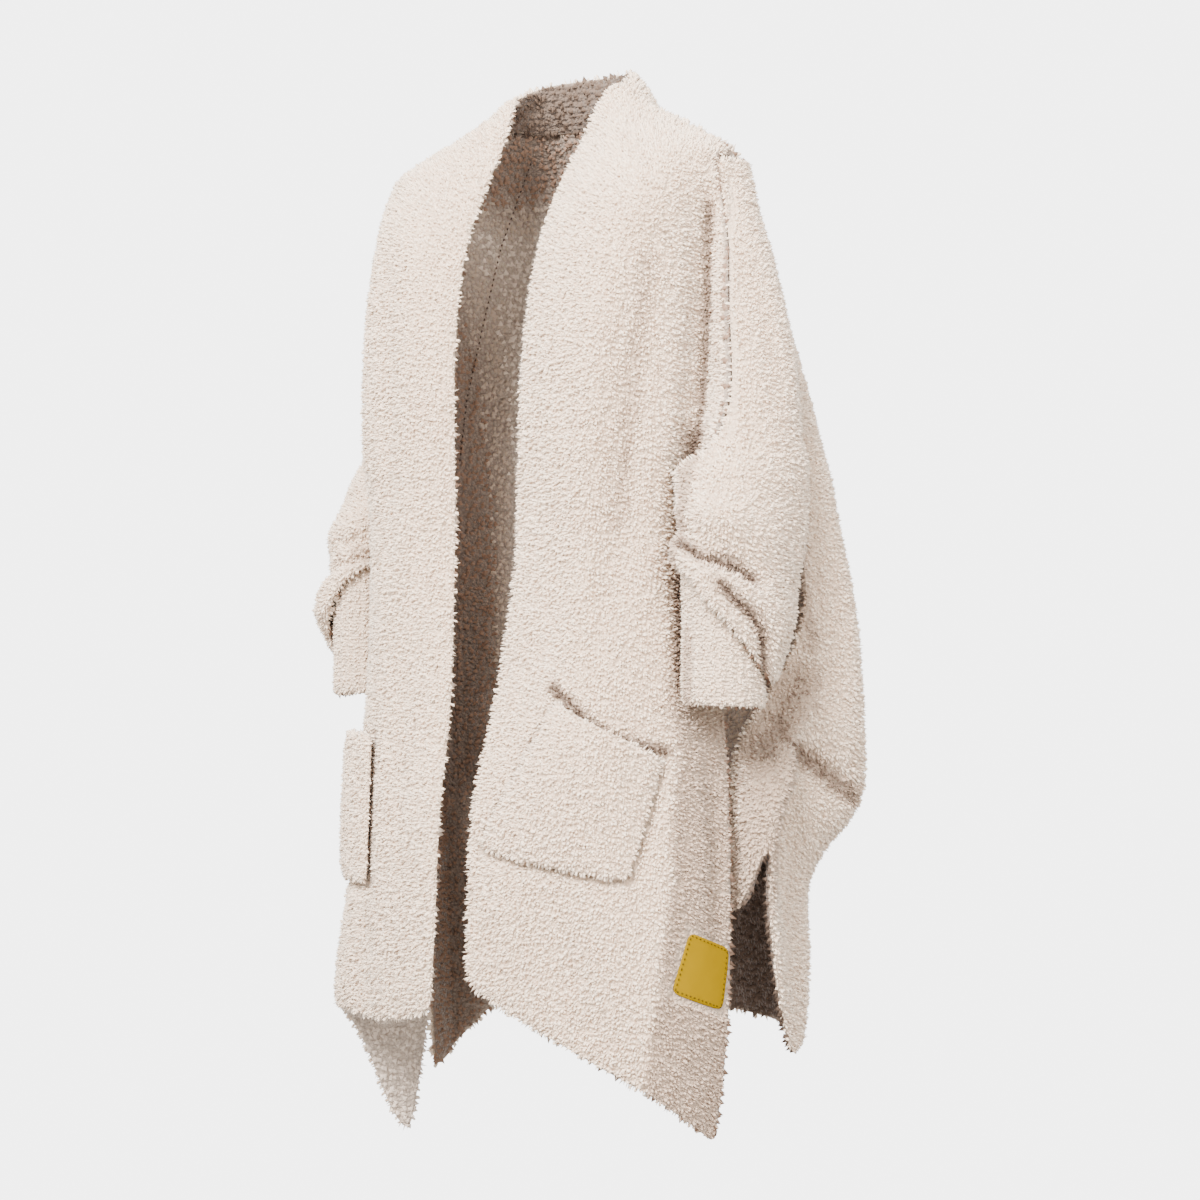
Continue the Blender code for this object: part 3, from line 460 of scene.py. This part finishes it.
def inner_shade(panel, places):
    """How dark the inside is, from 0 where daylight reaches it to 1 deep in the hollow."""
    x, y, z = places.T
    if panel == "back":
        right = BACK_SHADE * ease(-x, 0.15, 0.25)
        left = BACK_LEFT_SHADE + (1 - BACK_LEFT_SHADE) * ease(x, 0.10, 0.13) * ease(-z, 0.64, 0.70)
        top = BACK_SHADE * (1.0 - ease(-z, 0.02, 0.12))
        return np.maximum(np.where(x < 0, right, left), top)
    if panel == "front_right":
        return FRONT_SHADE * (1 - ease(-z, 0.90, 0.955))
    if panel == "collar":
        return np.full(len(places), COLLAR_SHADE)
    return np.full(len(places), INSIDE_SHADE)


def outer_shade(panel, places):
    """How dark the outside is, from 0 in the light to 1 in the bottom of a crease."""
    dark = np.zeros(len(places))
    for name, line, width, amount in SHADED:
        if name == panel:
            away, _ = from_line(places, line)
            dark = np.maximum(dark, amount * np.exp(-(away / width) ** 2))
    if panel == "front_left":
        depths, acrosses = [-point[2] for point in SIDE_FOLD], [point[0] for point in SIDE_FOLD]
        turn = np.interp(-places[:, 2], depths, acrosses)
        side = ease(places[:, 0] - turn, -0.003, 0.009) * ease(-places[:, 2], 0.57, 0.64)
        dark = np.maximum(dark, SIDE_SHADE * side)
    return dark


def set_attribute(mesh, name, values):
    mesh.attributes.new(name, "FLOAT", "POINT").data.foreach_set("value", values.astype(np.float32))


def inner_of(mesh):
    values = np.empty(len(mesh.vertices), np.float32)
    mesh.attributes["inner"].data.foreach_get("value", values)
    return values


def tree_of(node):
    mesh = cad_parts[node].data
    faces = [face.vertices[:] for face in mesh.polygons]
    return BVHTree.FromPolygons([vert.co for vert in mesh.vertices], faces)


# What lies on a front, and how wide a bare groove shows round it
ON_FRONT = {"front_left": (("label", 0.0045), ("pocket_left", 0.0050)),
            "front_right": (("pocket_right", 0.0050),)}
# The groove that a pocket presses into its panel: its reach, its depth, and how dark its painted shade is
GROOVE_REACH = 0.012
GROOVE_DEPTH = 0.0025
GROOVE_SHADE = 0.4


def groove(panel, places):
    """1 beside a pocket that lies on the panel, 0 away from it."""
    near = np.zeros(len(places))
    for node, _ in ON_FRONT.get(panel, ()):
        if node.startswith("pocket"):
            tree = tree_of(node)
            for at, place in enumerate(places):
                away = tree.find_nearest(Vector(place), GROOVE_REACH)[3]
                if away is not None:
                    near[at] = 1.0 - away / GROOVE_REACH
    return near


# Where each panel's points lie before its folds are laid
before_folds = {}


def knit_panel(panel, material, cuts=2):
    piece = panel_mesh(panel, cuts)
    mesh = piece.data
    places, normals = numbers(mesh)
    outward = normals * (1.0 - 2.0 * inner_of(mesh))[:, None]
    near = groove(panel, places)
    # Painted shade outside, beside the pockets and in creases; the groove attribute carries it
    dark = np.maximum(GROOVE_SHADE * near, outer_shade(panel, places))
    before_folds[panel] = places
    inward = (soft_folds(panel, places) + GROOVE_DEPTH * near)[:, None]
    places = places - outward * inward + drawn(panel, places)
    mesh.vertices.foreach_set("co", places.astype(np.float32).ravel())
    mesh.update()
    set_attribute(mesh, "shade", inner_shade(panel, places))
    set_attribute(mesh, "groove", dark * (1.0 - inner_of(mesh)))
    mesh.materials.clear()
    mesh.materials.append(material)
    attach(piece, "root")
    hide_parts(panel)
    return piece


# Pile: the curls that stand on the ground, and the fuzz between them

# Rings of a curl and of a tuft of fuzz: height, girth, lean. The last of each is its tip
CURL = ((0.0, 0.85, 0.0), (0.72, 1.0, 0.35), (1.0, 0.0, 0.55))
TUFT = ((0.0, 1.0, 0.0), (1.0, 0.0, 0.6))
# The way the pile is brushed
NAP = np.array((0.0, 0.0, -0.35))
# How curls differ in lean and in girth: the least, and the spread above it
LEAN_LEAST, LEAN_SPREAD = 0.15, 0.75
GIRTH_LEAST, GIRTH_SPREAD = 0.75, 0.5
# And in length: a share that all have, what clumps add or take away, and the spread
LENGTH_SHARED, LENGTH_CLUMPED, LENGTH_SPREAD = 0.75, 0.25, 0.5
CLUMP_WAVES = (np.array((410.0, 260.0, 330.0)), np.array((-290.0, 350.0, 470.0)))
# How far its lean carries a curl, how it twists, and how far the way it leans rises
LEAN_REACH, TWIST, TURN_RISE = 0.8, 1.2, 0.3
# How much the shade differs from curl to curl, outside and inside
SHADE_SPREAD, INNER_SHADE_SPREAD = 0.6, 0.45
# Places tried for each cell of the lattice, and the numbers that tell its cells apart
TRIED_PER_CELL = 3.2
CELL_KEYS = (73856093, 19349663, 83492791)
# Ribs round a cuff, and the level below which the wave between them is bare of curls
RIBS = 26
RIB_GAP = -0.45


def scatter(mesh, flat_places, spacing, rng, keep, clear_of, seams, ribs):
    """Even places on a mesh, one to a lattice cell, with their normals and their places before the folds."""
    mesh.calc_loop_triangles()
    count = len(mesh.loop_triangles)
    corners = np.empty(count * 3, np.int32)
    mesh.loop_triangles.foreach_get("vertices", corners)
    corners = corners.reshape(-1, 3)
    places, normals = numbers(mesh)
    kept = keep[corners].mean(axis=1) > 0.5
    corners = corners[kept]
    a, b, c = (places[corners[:, i]] for i in range(3))
    areas = 0.5 * np.linalg.norm(np.cross(b - a, c - a), axis=1)
    wanted = int(areas.sum() / spacing ** 2 * TRIED_PER_CELL)
    picked = rng.choice(len(areas), wanted, p=areas / areas.sum())
    u, v = rng.random(wanted), rng.random(wanted)
    over = u + v > 1
    u[over], v[over] = 1 - u[over], 1 - v[over]
    weights = np.stack((1 - u - v, u, v), axis=1)[..., None]
    found = (places[corners[picked]] * weights).sum(axis=1)
    square = (normals[corners[picked]] * weights).sum(axis=1)
    square /= np.maximum(np.linalg.norm(square, axis=1, keepdims=True), 1e-9)
    cells = np.floor(found / spacing + rng.random(3)).astype(np.int64)
    key = (cells[:, 0] * CELL_KEYS[0]) ^ (cells[:, 1] * CELL_KEYS[1]) ^ (cells[:, 2] * CELL_KEYS[2])
    _, first = np.unique(key, return_index=True)
    before = (flat_places[corners[picked]] * weights).sum(axis=1)
    found, square, before = found[first], square[first], before[first]
    for tree, gap in clear_of:
        far = np.array([tree.find_nearest(Vector(place), gap)[0] is None for place in before])
        found, square, before = found[far], square[far], before[far]
    for line, half in seams:
        far = from_line(before, line)[0] > half
        found, square, before = found[far], square[far], before[far]
    if ribs:
        middle = places.mean(axis=0)
        round_it = np.arctan2(found[:, 1] - middle[1], found[:, 0] - middle[0])
        standing = np.cos(ribs * round_it) > RIB_GAP
        found, square, before = found[standing], square[standing], before[standing]
    return found, square, before


def curl_pile(name, piece, mask, sizes, materials, rng, shades, shape=CURL, clear_of=(),
              seams=(), ribs=0):
    """Short bent curls over the places of a piece that mask keeps, as one mesh."""
    spacing, length, girth = sizes
    panel = piece.name.removesuffix("_knit")
    roots, square, before = scatter(piece.data, before_folds[panel], spacing, rng, mask,
                                    clear_of, seams, ribs)
    count = len(roots)
    turn = rng.random(count) * 2 * np.pi
    way = np.stack((np.cos(turn), np.sin(turn), TURN_RISE * np.sin(3 * turn)), axis=1)
    side = np.cross(square, way)
    side /= np.maximum(np.linalg.norm(side, axis=1, keepdims=True), 1e-9)
    other = np.cross(square, side)
    nap = NAP - square * (square @ NAP)[:, None]
    lean = side * (LEAN_LEAST + LEAN_SPREAD * rng.random((count, 1))) + nap
    clump = np.sin(roots @ CLUMP_WAVES[0]) * np.sin(roots @ CLUMP_WAVES[1])
    uneven = LENGTH_SPREAD * rng.random((count, 1)) ** 2
    tall = length * (LENGTH_SHARED + LENGTH_CLUMPED * clump[:, None] + uneven)
    fat = girth * (GIRTH_LEAST + GIRTH_SPREAD * rng.random((count, 1)))
    verts = []
    for height, width, bend in shape:
        centre = roots + square * tall * height + lean * tall * bend * LEAN_REACH
        if width == 0.0:
            verts.append(centre)
        else:
            for corner in range(3):
                angle = 2 * np.pi * corner / 3 + bend * TWIST
                verts.append(centre + (side * math.cos(angle) + other * math.sin(angle)) * fat * width)
    verts = np.stack(verts, axis=1)
    points = verts.shape[1]
    pattern = []
    for ring in range(len(shape) - 2):
        for corner in range(3):
            here, after = 3 * ring + corner, 3 * ring + (corner + 1) % 3
            pattern += [(here, after, after + 3), (here, after + 3, here + 3)]
    pattern += [(points - 4 + corner, points - 4 + (corner + 1) % 3, points - 1) for corner in range(3)]
    pattern = np.array(pattern)
    faces = (pattern[None] + (np.arange(count) * points)[:, None, None]).reshape(-1, 3)
    mesh = bpy.data.meshes.new(name)
    mesh.vertices.add(count * points)
    mesh.vertices.foreach_set("co", verts.reshape(-1).astype(np.float32))
    mesh.loops.add(len(faces) * 3)
    mesh.loops.foreach_set("vertex_index", faces.reshape(-1).astype(np.int32))
    mesh.polygons.add(len(faces))
    mesh.polygons.foreach_set("loop_start", np.arange(0, len(faces) * 3, 3, dtype=np.int32))
    for material in materials:
        mesh.materials.append(material)
    # Darker copies of the pile paint the shade of creases outside and of the hollow inside
    if materials is PILE:
        lit = len(LIT_SHARES)
        dark = shades(panel, before) * (len(PILE) - lit)
        level = np.clip(np.round(dark + SHADE_SPREAD * (rng.random(count) - 0.5)), 0, None)
        in_light = rng.choice(lit, count, p=LIT_SHARES)
        pick = np.where(level > 0, np.minimum(lit - 1 + level, len(PILE) - 1), in_light)
    else:
        last = len(materials) - 1
        dark = shades(panel, before) * last + INNER_SHADE_SPREAD * (rng.random(count) - 0.5)
        pick = np.clip(np.round(dark).astype(int), 0, last)
    mesh.polygons.foreach_set("material_index", np.repeat(pick, len(pattern)).astype(np.int32))
    mesh.update(calc_edges=True)
    mesh.validate()
    mesh.shade_smooth()
    made = bpy.data.objects.new(name, mesh)
    bpy.context.collection.objects.link(made)
    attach(made, "root")
    return made


rng = np.random.default_rng(SEED)
knits = {}
for panel in PANELS:
    slot = "rib_knit" if panel.startswith("cuff") else "plush_knit"
    knits[panel] = knit_panel(panel, RIB if slot == "rib_knit" else PLUSH)


# Curls outside: their spacing, length and half width
PILE_SIZES = {"back": (0.0067, 0.0062, 0.0030), "front_left": (0.0037, 0.0047, 0.0018),
              "front_right": (0.0039, 0.0047, 0.0018), "collar": (0.0040, 0.0047, 0.0018),
              "sleeve_left": (0.0039, 0.0047, 0.0018), "sleeve_right": (0.0041, 0.0047, 0.0018),
              "cuff_left": (0.0031, 0.0030, 0.0016), "cuff_right": (0.0032, 0.0030, 0.0016),
              "pocket_left": (0.0038, 0.0044, 0.0018), "pocket_right": (0.0039, 0.0044, 0.0018)}
WING_SIZES = (0.0041, 0.0047, 0.0019)
WING_FROM = 0.22
# Curls stand wider apart than that, and thin fuzz fills in between them
CURLS_APART, FUZZ_APART = 1.27, 0.94
FUZZ_LENGTH, FUZZ_GIRTH = 1.15, 0.62
INNER_SIZES = (0.0072, 0.0052, 0.0032)
for panel, sizes in PILE_SIZES.items():
    piece = knits[panel]
    inner = inner_of(piece.data)
    slot = "rib_knit" if panel.startswith("cuff") else "plush_knit"
    clear_of = [(tree_of(node), gap) for node, gap in ON_FRONT.get(panel, ())]
    seams = [(line, half) for name, line, half in SEAMS if name == panel]
    regions = [("_pile", 1.0 - inner, sizes)]
    if panel == "back":
        across = numbers(piece.data)[0][:, 0]
        regions = [("_pile_wing", (1.0 - inner) * (across > WING_FROM), WING_SIZES),
                   ("_pile_left", (1.0 - inner) * (across > 0) * (across <= WING_FROM), sizes),
                   ("_pile_right", (1.0 - inner) * (across <= 0), sizes)]
    ribs = RIBS if panel.startswith("cuff") else 0
    for part, mask, (spacing, length, girth) in regions:
        curls = (spacing * CURLS_APART, length, girth)
        fuzz = (spacing * FUZZ_APART, length * FUZZ_LENGTH, girth * FUZZ_GIRTH)
        curl_pile(panel + part, piece, mask, curls, PILE, rng, outer_shade,
                                 clear_of=clear_of, seams=seams, ribs=ribs)
        curl_pile(panel + part.replace("pile", "fuzz"), piece, mask, fuzz, PILE, rng,
                                 outer_shade, TUFT, clear_of=clear_of, seams=seams, ribs=ribs)
    if not panel.startswith("pocket"):
        curl_pile(panel + "_inner_pile", piece, inner, INNER_SIZES, PILE_INSIDE, rng,
                                 inner_shade, TUFT, seams=seams)


# Label: a bare woven patch with a stitched border

LABEL_YELLOW = (0.235, 0.145, 0.0)
LABEL_WORN = (0.200, 0.122, 0.0)


def label_finish():
    finish = Finish("label_weave", 0.8)
    finish.shader.inputs["Specular IOR Level"].default_value = 0.0
    place = finish.place()
    weave = finish.node("TexWave", {"wave_type": "BANDS", "bands_direction": "Z"}, output=1,
                        Vector=place, Scale=700.0)
    wear = finish.node("TexNoise", Vector=place, Scale=60.0, Detail=2.0)
    finish.colour(finish.blend(wear, LABEL_YELLOW, LABEL_WORN))
    finish.relief(weave, 0.25, 0.0004)
    return finish.material


label = panel_mesh("label", 2)
label.data.materials.clear()
label.data.materials.append(label_finish())
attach(label, "root")
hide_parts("label")


# Stitches

# From the start of one stitch to the start of the next, in lengths of a stitch
STITCH_STEP = 1.7
LABEL_THREAD = (0.045, 0.025, 0.004)
NECK_THREAD = (0.05, 0.034, 0.026)


def stitches(name, rows, length, girth, colour):
    """Rows of short stitches, each a small spindle, as one mesh. A row is its points and the way it faces."""
    verts, faces = [], []
    for line, square in rows:
        line = np.array(line, float)
        square = np.array(square, float) / np.linalg.norm(square)
        steps = np.linalg.norm(np.diff(line, axis=0), axis=1)
        before = np.concatenate(([0.0], np.cumsum(steps)))
        for at in np.arange(0.5 * length, before[-1], length * STITCH_STEP):
            leg = min(np.searchsorted(before, at, side="right") - 1, len(steps) - 1)
            along = (line[leg + 1] - line[leg]) / steps[leg]
            middle = line[leg] + along * (at - before[leg])
            side = np.cross(square, along)
            first = len(verts)
            verts += [middle - along * length / 2, middle + along * length / 2, middle + side * girth,
                      middle + square * girth, middle - side * girth, middle - square * girth]
            for corner in range(4):
                here, after = first + 2 + corner, first + 2 + (corner + 1) % 4
                faces += [(first + 1, here, after), (first, after, here)]
    mesh = bpy.data.meshes.new(name)
    mesh.from_pydata([tuple(vert) for vert in verts], [], faces)
    mesh.shade_smooth()
    mesh.materials.append(pile_finish(name + "_thread", colour, 0.0))
    made = bpy.data.objects.new(name, mesh)
    bpy.context.collection.objects.link(made)
    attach(made, "root")
    return made


def on_solid(node, points, lift):
    """The places nearest the points on a solid, lifted off it, and the way they face."""
    tree = tree_of(node)
    found = [tree.find_nearest(Vector(point)) for point in points]
    return [tuple(place + square * lift) for place, square, _, _ in found], tuple(found[len(found) // 2][1])


# How far in from the label's corners its row of stitches turns
LABEL_INSET = 0.0049
# From the label's middle to a place in front of it, which tells its face from its back
OFF_LABEL = Vector((0.05, -0.015, 0.0))
BORDER_STEPS = 6
corners = [vert.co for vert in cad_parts["label"].data.vertices]
label_middle = sum(corners, Vector()) / len(corners)
label_square = tree_of("label").find_nearest(label_middle + OFF_LABEL)[1]
ends = [max(corners, key=lambda place: sy * place.y + sz * place.z)
        for sy, sz in ((-1, 1), (1, 1), (1, -1), (-1, -1))]
border = [end + (label_middle - end).normalized() * LABEL_INSET for end in ends]
label_rows = []
for first, second in zip(border, border[1:] + border[:1]):
    points = [first.lerp(second, step / BORDER_STEPS) + label_square * 0.004
              for step in range(BORDER_STEPS + 1)]
    label_rows.append(on_solid("label", points, lift=0.0003))
stitches("label_stitches", label_rows, length=0.0030, girth=0.0008, colour=LABEL_THREAD)

NECK_ROW = ((-0.090, 0.052, 0.002), (-0.075, 0.062, 0.008), (-0.060, 0.070, 0.012), (-0.040, 0.078, 0.016),
            (-0.020, 0.083, 0.018), (0.000, 0.086, 0.019))
# Toward the hollow from the cloth, so that the nearest wall is the inner one
TO_HOLLOW = 0.01
# Two rows above the collar's seam, and one beside the back's slanting seam, all on the inside
neck_rows = [on_solid("collar", [(x, y - TO_HOLLOW, z + rise) for x, y, z in NECK_ROW], lift=0.0052)
             for rise in (0.010, 0.003)]
beside_seam = [(x + 0.003, y - TO_HOLLOW, z) for x, y, z in SEAMS[0][1]]
neck_rows.append(on_solid("back", beside_seam, lift=0.0048))
stitches("neck_stitches", neck_rows, length=0.0040, girth=0.0010, colour=NECK_THREAD)


# Room

def paper_finish():
    paper = Finish("paper", 1.0)
    glow = paper.node("Emission", Strength=PAPER)
    paper.tree.links.new(glow.socket, paper.tree.nodes["Material Output"].inputs["Surface"])
    return paper.material


def make_room():
    """A pale floor and, far behind it, a pale dome. Both show, and neither lights or shades the garment."""
    for name in ("floor", "dome"):
        shape = bmesh.new()
        if name == "floor":
            bmesh.ops.create_grid(shape, x_segments=1, y_segments=1, size=FLOOR_HALF)
            bmesh.ops.translate(shape, verts=shape.verts, vec=(0.0, 0.0, FLOOR_LEVEL))
        else:
            bmesh.ops.create_icosphere(shape, subdivisions=3, radius=DOME_RADIUS)
        mesh = bpy.data.meshes.new(name)
        shape.to_mesh(mesh)
        shape.free()
        mesh.materials.append(paper_finish())
        room = bpy.data.objects.new(name, mesh)
        bpy.context.collection.objects.link(room)
        room.visible_diffuse = room.visible_glossy = room.visible_shadow = False


def soft_lamp(name, place, aim, size, power, colour=WARM):
    data = bpy.data.lights.new(name, "AREA")
    data.shape, data.size, data.energy, data.color = "DISK", size, power, colour
    lamp = bpy.data.objects.new(name, data)
    lamp.location = place
    lamp.rotation_euler = (Vector(aim) - Vector(place)).to_track_quat("-Z", "Y").to_euler()
    lamp.visible_camera = False
    bpy.context.collection.objects.link(lamp)


def make_camera():
    data = bpy.data.cameras.new("camera")
    data.lens, data.sensor_width, data.shift_x = FOCUS, FILM, CAMERA_SHIFT
    camera = bpy.data.objects.new("camera", data)
    turn = math.radians(CAMERA_ROUND)
    camera.location = (CAMERA_AWAY * math.sin(turn), -CAMERA_AWAY * math.cos(turn), CAMERA_LEVEL)
    camera.rotation_euler = (math.pi / 2, 0.0, turn)
    bpy.context.collection.objects.link(camera)
    bpy.context.scene.camera = camera


def make_world():
    world = bpy.data.worlds.new("studio")
    world.use_nodes = True
    world.node_tree.nodes["Background"].inputs["Color"].default_value = (*DAYLIGHT, 1.0)
    world.node_tree.nodes["Background"].inputs["Strength"].default_value = DAYLIGHT_STRENGTH
    bpy.context.scene.world = world


make_room()
make_world()
make_camera()
soft_lamp("key", place=(0.75, -2.95, 1.7), aim=(0.05, 0.0, -0.5), size=1.7, power=620.0)
soft_lamp("side", place=(2.6, -1.7, 0.4), aim=(0.25, 0.0, -0.4), size=1.6, power=110.0)
soft_lamp("behind", place=(-0.9, 3.1, 1.6), aim=(0.0, 0.0, -0.5), size=1.6, power=260.0)
# A weak lamp in the hollow, for the light that comes through the cloth
soft_lamp("inside", place=(0.06, -0.06, -0.42), aim=(-0.15, 0.12, -0.42), size=0.08, power=0.80,
          colour=THROUGH_CLOTH)
